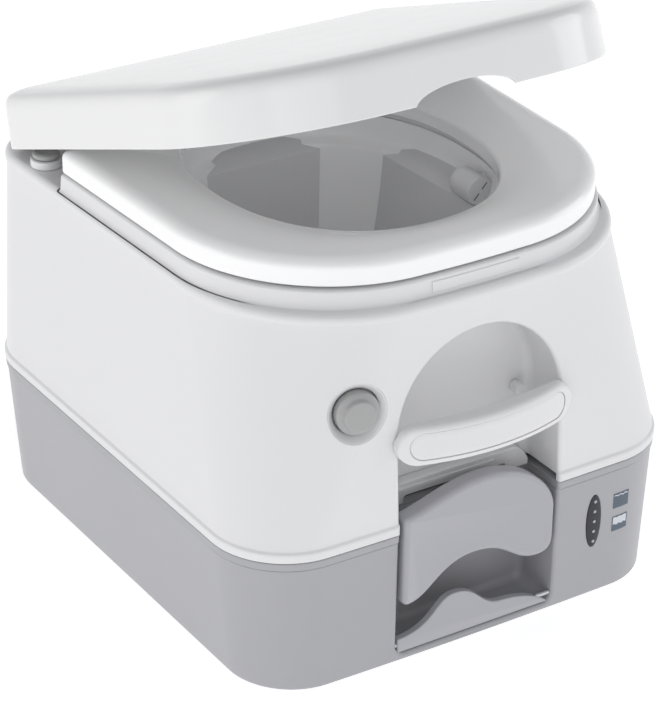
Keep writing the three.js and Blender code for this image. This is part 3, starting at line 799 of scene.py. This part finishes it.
def make_button():
    """The dished cup in the rounded corner and the two-step button in it."""
    rings = []
    for radius, depth in rounded([(22.15, 0.6, 0), (21.6, 0.9, 0.5), (17.4, 7, 1.2), (17.2, 14, 0.8),
                                  (4.2, 14, 0), (4.2, 16, 0), (22.1, 16, 0)], 4):
        share = min(max((radius - 17.4) / 4.8, 0.0), 1.0) if depth < 7.5 else 0.0
        ring = []
        for i in range(64):
            a, b = radius * math.cos(i / 64 * math.tau), radius * math.sin(i / 64 * math.tau)
            ring.append(button_place(a, b, depth + share * button_skin(a, b)))
        rings.append(ring)
    show(from_rings("button_dish", rings, closed=True), WHITE, "upper_unit", "button_cup")
    profile = rounded([(0, -4.5, 0), (11.4, -4.5, 1.4), (12.4, -0.9, 1), (15.2, 0.1, 1),
                       (16.4, 1.6, 1.2), (16.6, 7, 0.5), (0, 7, 0)])
    show(turned("button_face", profile, button_place, 64), BUTTON, "flush_button", "flush_button")


# ---- carrying handle and the niche's fittings --------------------------------------------
HANDLE_Y, HANDLE_Z, HANDLE_HALF, HANDLE_TALL, HANDLE_BULGE = -209.6, 178.0, 75.5, 15.0, 15.5


def handle_front(x):
    return HANDLE_Y - 5.5 - HANDLE_BULGE * (1 - (x / HANDLE_HALF) ** 2)


def handle_back(x):
    """Hollowed behind the fingers and flat at the two ends."""
    grip = 66
    if abs(x) > grip:
        return HANDLE_Y + 0.4
    return HANDLE_Y + 0.4 - 6.5 * (1 - (x / grip) ** 2)


def capsule_half(x, half, tall):
    end = max(abs(x) - (half - tall), 0.0)
    return math.sqrt(max(tall**2 - end**2, 0.0))


def leaning(x, y, z):
    return (x, y + (z - HANDLE_Z) * math.tan(DRAFT), z)


def spread(half, tall, middle=36, ends=10):
    """Stations along a capsule, crowded at its round ends."""
    straight = half - tall
    tips = [straight + tall * math.sin(i / ends * math.pi / 2 * 0.985) for i in range(1, ends + 1)]
    inner = [lerp(-straight, straight, i / middle) for i in range(middle + 1)]
    return [-x for x in reversed(tips)] + inner + tips


def make_carry_handle():
    rings = []
    for x in spread(HANDLE_HALF, HANDLE_TALL):
        tall = capsule_half(x, HANDLE_HALF, HANDLE_TALL)
        front, back = handle_front(x), handle_back(x)
        ease = min(5.0, tall * 0.6)
        section = loop_of([
            (front, HANDLE_Z - tall, ease), (back, HANDLE_Z - tall, ease * 0.6),
            (back, HANDLE_Z + tall, ease * 0.6), (front, HANDLE_Z + tall, ease),
        ], 6)
        rings.append([leaning(x, y, z) for y, z in section])
    strap = from_rings("carry_strap", rings)
    carve(strap, panel("cut", 67.7, 10.7, -3.0, 1.4, 0))
    show(strap, WHITE, "upper_unit", "carry_handle")
    show(panel("carry_inlay", 67.1, 10.1, 0.12, 1.9, 0.5), WHITE, "upper_unit", "handle_inlay")


def panel(name, half, tall, front, back, ease):
    """A capsule plate following the strap's front, its front edge eased back."""
    rings = []
    for x in spread(half, tall):
        height = capsule_half(x, half, tall)
        near_end = max(0.0, 1 - (half - abs(x)) / 1.2)
        face = handle_front(x)
        top = []
        for k in range(13):
            u = lerp(-1, 1, k / 12)
            edge = max(abs(u) ** 24, near_end)
            top.append((face + front + ease * edge, HANDLE_Z + u * height))
        base = [(face + back, z) for _, z in reversed(top)]
        rings.append([leaning(x, y, z) for y, z in top + base])
    return from_rings(name, rings)


def plug_place(a, b, height):
    return (57 + a, height, 172 + b)


def make_niche_fittings():
    bar = trace((-66, 107), (-45, 107), (-45, 111), (-45, 113.5, -42, 113.5), (42, 113.5),
                (45, 113.5, 45, 111), (45, 107), (66, 107), (66, 112), (62, 121, 54, 125),
                (-66, 125), steps=6)
    ledge = ease_edges(prism("ledge", bar, facing_front, -180, -170.4), 1.2, 4, 40)
    rib = ease_edges(prism("rib", trace((-66, 118), (30, 118), (33, 118, 34, 121), (-66, 121), steps=6),
                           facing_front, -181.2, -179), 0.5, 3)
    show(merge("ledge_bar", ledge, rib), WHITE, "upper_unit", "niche_ledge")
    plug = rounded([(0, -179, 0), (4.5, -179, 1.2), (4.5, -170.4, 0.3), (0, -170.4, 0)])
    show(turned("niche_peg", plug, plug_place, 32), WHITE, "upper_unit", "niche_plug")


# ---- deck, bowl and seat, all drawn round the opening ------------------------------------
def neck_union(plan, half, rear, radius):
    """The plan joined with the narrower neck that runs back to the hinge."""
    def distance(x, y):
        return min(plan_distance(plan, x, y), box_distance(half, 0, rear, radius, x, y))
    return distance


def rim(inset):
    return reach(lambda x, y: plan_distance(RIM_PLAN, x, y), inset)


def make_deck():
    plinth = neck_union(PLINTH_PLAN, 98, 158, 4)
    rings = []
    skirt = rounded([(3, RIM + GAP, 0), (-1.2, RIM + GAP, 0.8), (-1.2, 277.4, 2.2), (1.6, DECK, 2),
                     (6, DECK, 0)], 4)
    for inset, z in skirt:
        rings.append(polar_ring(rim(inset), z))
    side = rounded([(-2.5, DECK, 0), (0, DECK, 2), (0.9, PLINTH - 1, 1), (2.4, PLINTH, 1.6),
                    (6, PLINTH, 0)], 4)
    for inset, z in side:
        rings.append(polar_ring(reach(plinth, inset), z))
    hole = [(1.6, PLINTH, 0), (0, PLINTH, 1.4), (0, PLINTH - WALL, 0), (4, PLINTH - WALL, 0)]
    for grow, z in rounded(hole, 4):
        rings.append(polar_ring(oval_reach(114 + grow, 130 + grow), z))
    rings.append(polar_ring(reach(plinth, 4.5), PLINTH - WALL))
    rings.append(polar_ring(reach(plinth, 3), DECK - WALL))
    rings.append(polar_ring(rim(6), DECK - WALL))
    rings.append(polar_ring(rim(4), RIM + GAP))
    deck = from_rings("deck_panel", rings, closed=True)
    for place, radius in ((PUMP, 9.7), (FILLER, 18.2)):
        carve(deck, prism("cut", circle(*place, radius), lying, 262, 290))
    show(deck, WHITE, "upper_unit", "deck")


def make_deck_clip():
    columns = [lerp(-37, 37, i / 24) for i in range(25)]
    outer = trace((283, 0), (283, 0.8), (283, 1.3, 283.6, 1.3), (290.4, 1.3), (291, 1.3, 291, 0.8),
                  (291, 0), steps=4)
    rings = []
    for x in columns:
        ring = []
        for z, proud in outer:
            skin = front_y(PLINTH_PLAN, x) + 0.9 * (z - DECK) / (PLINTH - DECK)
            ring.append((x, skin + 0.4 - proud, z))
        rings.append(ring)
    show(from_rings("clip_plate", rings), WHITE, "upper_unit", "deck_clip")


def make_bowl():
    sections = [(122, 138, OPENING_Y, 287.8, 2.2), (122, 138, OPENING_Y, 290.4, 2.2),
                (121.4, 137.4, OPENING_Y, 290.8, 2.2), (114, 130, OPENING_Y, 290.8, 2.2),
                (112.9, 128.9, OPENING_Y, 290.4, 2.2), (112.5, 128.5, OPENING_Y, 289.4, 2.2)]
    sections += BOWL_SECTIONS[1:]
    sections += [(a + 2.5, b + 2.5, cy, z, power) for a, b, cy, z, power in BOWL_SECTIONS[:0:-1]]
    turn = [i / 128 * math.tau for i in range(128)]
    directions = [(math.cos(t), math.sin(t)) for t in turn]
    rings = []
    for a, b, cy, z, power in sections:
        points = [(c, cy + s) for c, s in directions]
        rings.append(oval_like(points, a, b, cy, z, power))
    bowl = from_rings("bowl_skin", rings, closed=True)
    # The bowl takes the brighter white, painted light against the lid's shade.
    show(bowl, BOWL, "upper_unit", "bowl")


def nozzle_place(a, b, height):
    """Turned pieces of the spray head point forwards along the wall."""
    return (NOZZLE_X + a, -height, NOZZLE_Z + b)


def make_nozzle():
    """A stub through the bowl's wall, with a round head that sprays forwards along the wall."""
    stub = rounded([(0, 97, 0), (7.5, 97, 0), (7.5, 118, 0), (0, 118, 0)], 2)
    head = rounded([(0, 41, 0), (11.5, 41, 2.5), (11.5, 66.5, 1.2), (0, 66.5, 0)], 4)
    pieces = [turned("stub", stub, across(NOZZLE_Y, NOZZLE_Z), 28),
              turned("head", head, nozzle_place, 40)]
    show(merge("spray_head", *pieces), WHITE, "upper_unit", "spray_nozzle")
    # Two thin dark plates, just proud of the head's face, are painted shade standing in for the spray
    # slots.
    for i, centre in enumerate((-5.2, 5.2)):
        show(painted_slot_shade(i, centre), RUBBER, "upper_unit")


def painted_slot_shade(i, centre):
    """A thin dark plate across the spray head's face, painted shade where a slot opens, centre
    millimetres along its slanted line.
    """
    c, s = math.cos(math.radians(48)), math.sin(math.radians(48))
    half, wide = 3.2, 0.45
    flat = [(centre - half, -wide), (centre + half, -wide), (centre + half, wide),
            (centre - half, wide)]
    shape = [(NOZZLE_X + a * c - b * s, NOZZLE_Z + a * s + b * c) for a, b in flat]
    return prism(f"painted_slot_shade_{i}", shape, facing_front, -66.7, -66.2)


def knuckle(name, x0, x1, arm):
    """A hinge arm (y, z from the pin) ending in a round knuckle."""
    shape = [(HINGE_Y + y, HINGE_Z + z) for y, z in arm]
    body = ease_edges(prism(name, shape, from_side, x0, x1), 0.8, 2)
    eye = rounded([(0, x0, 0), (KNUCKLE, x0, 0.8), (KNUCKLE, x1, 0.8), (0, x1, 0)], 3)
    return merge(name, body, turned("eye", eye, across(HINGE_Y, HINGE_Z), 32))


def mirrored(side, low, high):
    return (low, high) if side > 0 else (-high, -low)


def seat_tops():
    """The seat's top at each angle, lower over the neck that runs back to the hinge."""
    neck = reach(lambda x, y: box_distance(80, 0, 160, 5, x, y))
    board = reach(lambda x, y: plan_distance(SEAT_PLAN, x, y))
    return {t: SEAT_TOP - (4 if n > p else 0) for t, n, p in zip(ANGLES, neck, board)}


def make_seat():
    whole = neck_union(SEAT_PLAN, 80, 160, 5)
    top_of = seat_tops()
    rings = [polar_ring(reach(whole, 5), SEAT_BOTTOM + 2)]
    for inset, z in rounded([(5, SEAT_BOTTOM, 0), (0, SEAT_BOTTOM, 2.4), (0, SEAT_TOP - 7, 0)], 4):
        rings.append(polar_ring(reach(whole, inset), z))
    for k in range(1, 9):
        a = k / 8 * math.pi / 2
        inset, rise = 11 * (1 - math.cos(a)), 7 * math.sin(a)
        rings.append(polar_ring(reach(whole, inset), lambda t, rise=rise: top_of[t] - 7 + rise))
    outer = reach(whole, 11)
    hole = oval_reach(112, 128.6)
    for k in range(1, 11):
        t = k / 10
        dip = 6.2 * t**3
        rings.append(polar_ring(mixed(outer, hole, t), lambda a, dip=dip: top_of[a] - dip))
    for k in range(1, 7):
        a = k / 6 * math.pi / 2
        grow, drop = 3 * (1 - math.sin(a)), 6.2 + 3.5 * (1 - math.cos(a))
        rings.append(polar_ring(oval_reach(109 + grow, 125.6 + grow), SEAT_TOP - drop))
    rings.append(polar_ring(oval_reach(109, 125.5), SEAT_BOTTOM + 1))
    rings.append(polar_ring(oval_reach(110, 126.5), SEAT_BOTTOM))
    rings.append(polar_ring(oval_reach(112, 128.5), SEAT_BOTTOM))
    rings.append(polar_ring(oval_reach(113, 129.5), SEAT_BOTTOM + 2))
    board = from_rings("board", rings, closed=True)
    arm = [(-26, 12), (-8, 6), (-6, -2), (2, -2.5), (5.5, 3), (-3, 11), (-9, 23.9), (-26, 23.9)]
    arms = [knuckle("arm", *mirrored(side, 73, 84), arm) for side in (-1, 1)]
    show(merge("seat_board", board, *arms), GLOSS, "seat", "seat")


# ---- lid, drawn shut and then opened -----------------------------------------------------
def finger_arch(x, y):
    """How far the lid's front edge is raised over the finger arch."""
    if y > 0 or abs(x) >= 42:
        return 0.0
    return max(0.0, 13 * math.sqrt(1 - (x / 42) ** 2) - 2)


def open_lid(obj):
    pivot = Vector((0, HINGE_Y * MM, (HINGE_Z + LIFT) * MM))
    turn = Matrix.Translation(pivot) @ Matrix.Rotation(-LID_REST, 4, "X") @ Matrix.Translation(-pivot)
    obj.data.transform(turn)
    return obj


def make_lid():
    profile = rounded([
        (80, LID_TOP - WALL, 0), (19, LID_TOP - WALL, 8), (4.4, LID_TOP - 9 - WALL, 4),
        (2.3, LID_BOTTOM, 0.8), (-0.5, LID_BOTTOM, 1.0), (1.2, LID_TOP - 10, 6),
        (4.6, LID_TOP - 4.2, 4), (16, LID_TOP - 1.1, 8), (50, LID_TOP - 0.1, 20), (80, LID_TOP, 0),
    ], 6)
    rings = []
    for inset, z in profile:
        fade = min(max((LID_TOP - 12 - z) / (LID_TOP - 12 - LID_BOTTOM), 0.0), 1.0)
        points = outline(LID_PLAN, inset, arch=42)
        rings.append([(x, y, z + fade * finger_arch(x, y)) for x, y in points])
    shell = from_rings("shell", rings)
    carve(shell, block("cut", -101, 101, HINGE_Y - 7, HINGE_Y + 12, LID_BOTTOM - 2, HINGE_Z + 11))
    arm = [(-9, 8), (-6, -2), (2, -2), (3, 8), (1.5, 34), (-9, 34)]
    arms = [knuckle("arm", *mirrored(side, 88, 99), arm) for side in (-1, 1)]
    # The lid takes the darker copy of the gloss, painted shade over its top.
    show(open_lid(merge("lid_shell", shell, *arms)), LID, "lid", "lid")


# ---- hinge, pump, filler and pads --------------------------------------------------------
def make_hinge():
    footing = DECK + GAP - HINGE_Z
    foot = [(-15, footing), (9, footing), (5, 3), (-5, 3), (-15, footing + 3.5)]
    for side, name in ((-1, "left"), (1, "right")):
        stand = knuckle(f"hinge_stand_{name}", *mirrored(side, 60, 72), foot)
        show(stand, WHITE, "upper_unit", f"hinge_block_{name}")
        x0, x1 = mirrored(side, 58.5, 100.4)
        rod = rounded([(0, x0, 0), (2.9, x0, 0.6), (2.9, x1, 0.6), (0, x1, 0)], 3)
        pin = turned(f"hinge_rod_{name}", rod, across(HINGE_Y, HINGE_Z), 28)
        show(pin, STEEL, "upper_unit", f"hinge_pin_{name}")


def make_pump():
    top = DECK + 6.5
    place = standing(*PUMP)
    collar = loop_of([(9.6, DECK + GAP, 0.3), (12.3, DECK + GAP, 0.4), (12.3, top, 1.6),
                      (3.4, top, 0.4), (3.4, top - 2.5, 0.4), (9.6, top - 2.5, 0.3)])
    show(turned("pump_ring", collar, place), WHITE, "upper_unit", "pump_collar")
    knob = rounded([(0, top + 0.5, 0), (9.4, top + 0.5, 0.5), (10.4, top + 1.2, 0.5),
                    (10.4, top + 3.8, 1), (8.6, top + 5.2, 1.2), (0, top + 5.2, 0)])
    show(turned("pump_cap", knob, place), BUTTON, "pump_plunger", "pump_knob")


def make_filler():
    top = DECK + 7
    place = standing(*FILLER)
    neck = loop_of([(14.8, 243.5, 0.5), (17.8, 243.5, 0.5), (17.8, top, 0.8), (14.8, top, 0.8)])
    show(turned("filler_pipe", neck, place), WHITE, "upper_unit", "filler_neck")
    seal = loop_of([(11, top + 0.3, 0.4), (17.8, top + 0.3, 0.4), (17.8, top + 2.1, 0.4),
                    (11, top + 2.1, 0.4)])
    show(turned("filler_gasket", seal, place), RUBBER, "filler_seal", "filler_seal")
    cap = rounded([(0, top + 2.4, 0), (18.2, top + 2.4, 0.5), (18.2, DECK + 1, 0.4),
                   (21, DECK + 1, 0.8), (21, top + 5, 1.6), (0, top + 5, 0)])
    x, y = FILLER
    grip = block("grip", x - 16, x + 16, y - 2.5, y + 2.5, top + 4, top + 11, 1.6)
    show(merge("filler_lid", turned("cup", cap, place), grip), GREY, "filler_cap", "filler_cap")


def make_pads():
    for side, name in ((-1, "left"), (1, "right")):
        x0, x1 = mirrored(side, 118, 130)
        pad = block(f"seat_foot_{name}", x0, x1, 72, 82, PLINTH + 0.3, SEAT_BOTTOM - 0.3, 0.5)
        show(pad, RUBBER, "seat", f"seat_pad_{name}")
        x0, x1 = mirrored(side, 80, 92)
        pad = block(f"lid_foot_{name}", x0, x1, -150, -138, SEAT_TOP + 1.4, LID_TOP - WALL - 0.4, 1.2)
        show(open_lid(pad), RUBBER, "lid", f"lid_pad_{name}")


def make_throat_seal():
    ring = loop_of([(45, 106, 0.6), (50.5, 106, 0.6), (50.5, 111.4, 1.2), (45, 111.4, 1.2)])
    show(turned("throat_gasket", ring, standing(0, 0), 72), RUBBER, "holding_tank", "throat_seal")


def finish_carried_nodes():
    """The CAD nodes that stay as they are get the same finishes."""
    finishes = {
        RUBBER: ["flush_tube", "pump_piston"],
        STEEL: ["tank_handle_pin_left", "tank_handle_pin_right", "vent_spring", "latch_pin",
                "button_spring", "pump_rod"],
        GREY: ["valve_frame", "nozzle_nut", "button_stem", "flush_valve"],
        WHITE: ["pump_barrel"],
    }
    for material, names in finishes.items():
        for name in names:
            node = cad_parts[name]
            node.data.materials.clear()
            node.data.materials.append(material)


# ---- floor, light and camera -------------------------------------------------------------
def make_stage():
    rows = [[(x * 250, y * 250, UNDERSIDE) for x in range(-16, 17)] for y in range(-16, 33)]
    floor = from_grid("floor", rows)
    paint = moulded("floor_paint", (0.92, 0.92, 0.92), 0.5, grain=0.01, wear=0.0)
    glow = paint.node_tree.nodes["Principled BSDF"]
    glow.inputs["Emission Color"].default_value = (1, 1, 1, 1)
    glow.inputs["Emission Strength"].default_value = 0.55
    floor.data.materials.append(paint)


def aim(obj, target):
    obj.rotation_euler = (Vector(target) - obj.location).to_track_quat("-Z", "Y").to_euler()


def add_light(name, place, power, size, colour):
    data = bpy.data.lights.new(name, "AREA")
    data.energy = power
    data.shape = "DISK"
    data.size = size
    data.color = colour
    light = bpy.data.objects.new(name, data)
    light.location = place
    bpy.context.scene.collection.objects.link(light)
    aim(light, (0, -0.05, 0.2))


def studio_world():
    """An even grey-white surround, brighter near the horizon than overhead."""
    world = bpy.data.worlds.new("studio")
    world.use_nodes = True
    nodes, links = world.node_tree.nodes, world.node_tree.links
    direction = nodes.new("ShaderNodeTexCoord")
    split = nodes.new("ShaderNodeSeparateXYZ")
    fall = nodes.new("ShaderNodeMapRange")
    fall.inputs["From Min"].default_value = 0.0
    fall.inputs["From Max"].default_value = 0.9
    fall.inputs["To Min"].default_value = 1.0
    fall.inputs["To Max"].default_value = 0.30
    sky = nodes["Background"]
    sky.inputs["Color"].default_value = (0.98, 0.985, 1.0, 1)
    links.new(direction.outputs["Generated"], split.inputs[0])
    links.new(split.outputs["Z"], fall.inputs["Value"])
    links.new(fall.outputs["Result"], sky.inputs["Strength"])
    return world


def light_scene():
    bpy.context.scene.world = studio_world()
    add_light("left", (-2.5, 0.9, 0.9), 9, 1.8, (1.0, 0.985, 0.965))
    add_light("front", (-1.3, -2.1, 1.35), 9.5, 2.2, (0.975, 0.98, 1.0))
    add_light("right", (2.4, -0.7, 1.0), 9, 1.6, (0.95, 0.955, 1.0))
    bpy.context.scene.view_settings.view_transform = "Standard"


def place_camera():
    """Seen from the front left and above, through a long lens and with a slight roll."""
    azimuth, elevation, roll = math.radians(-32.958), math.radians(28.057), math.radians(0.7366)
    back = Vector((math.sin(azimuth) * math.cos(elevation), -math.cos(azimuth) * math.cos(elevation),
                   math.sin(elevation)))
    target = Vector((1.03, -2.57, 133.13 + LIFT)) * MM
    right = (-back).cross(Vector((0, 0, 1))).normalized()
    up = right.cross(-back)
    across_view = right * math.cos(roll) + up * math.sin(roll)
    up_view = up * math.cos(roll) - right * math.sin(roll)
    data = bpy.data.cameras.new("camera")
    data.lens = 145.69
    data.sensor_width = 36
    data.clip_start, data.clip_end = 0.1, 50
    data.shift_x, data.shift_y = 0.0041, -0.0029
    camera = bpy.data.objects.new("camera", data)
    camera.matrix_world = Matrix((
        (across_view.x, up_view.x, back.x, 0), (across_view.y, up_view.y, back.y, 0),
        (across_view.z, up_view.z, back.z, 0), (0, 0, 0, 1)))
    camera.location = target + back * 2247.9 * MM
    bpy.context.scene.collection.objects.link(camera)
    bpy.context.scene.camera = camera


make_tank()
make_tank_top()
make_gauge()
make_icons()
make_pull()
make_tank_handle()
make_spout()
make_vent()
make_latch()
make_housing()
make_button()
make_carry_handle()
make_niche_fittings()
make_deck()
make_deck_clip()
make_bowl()
make_nozzle()
make_seat()
make_lid()
make_hinge()
make_pump()
make_filler()
make_pads()
make_throat_seal()
finish_carried_nodes()
make_stage()
light_scene()
place_camera()
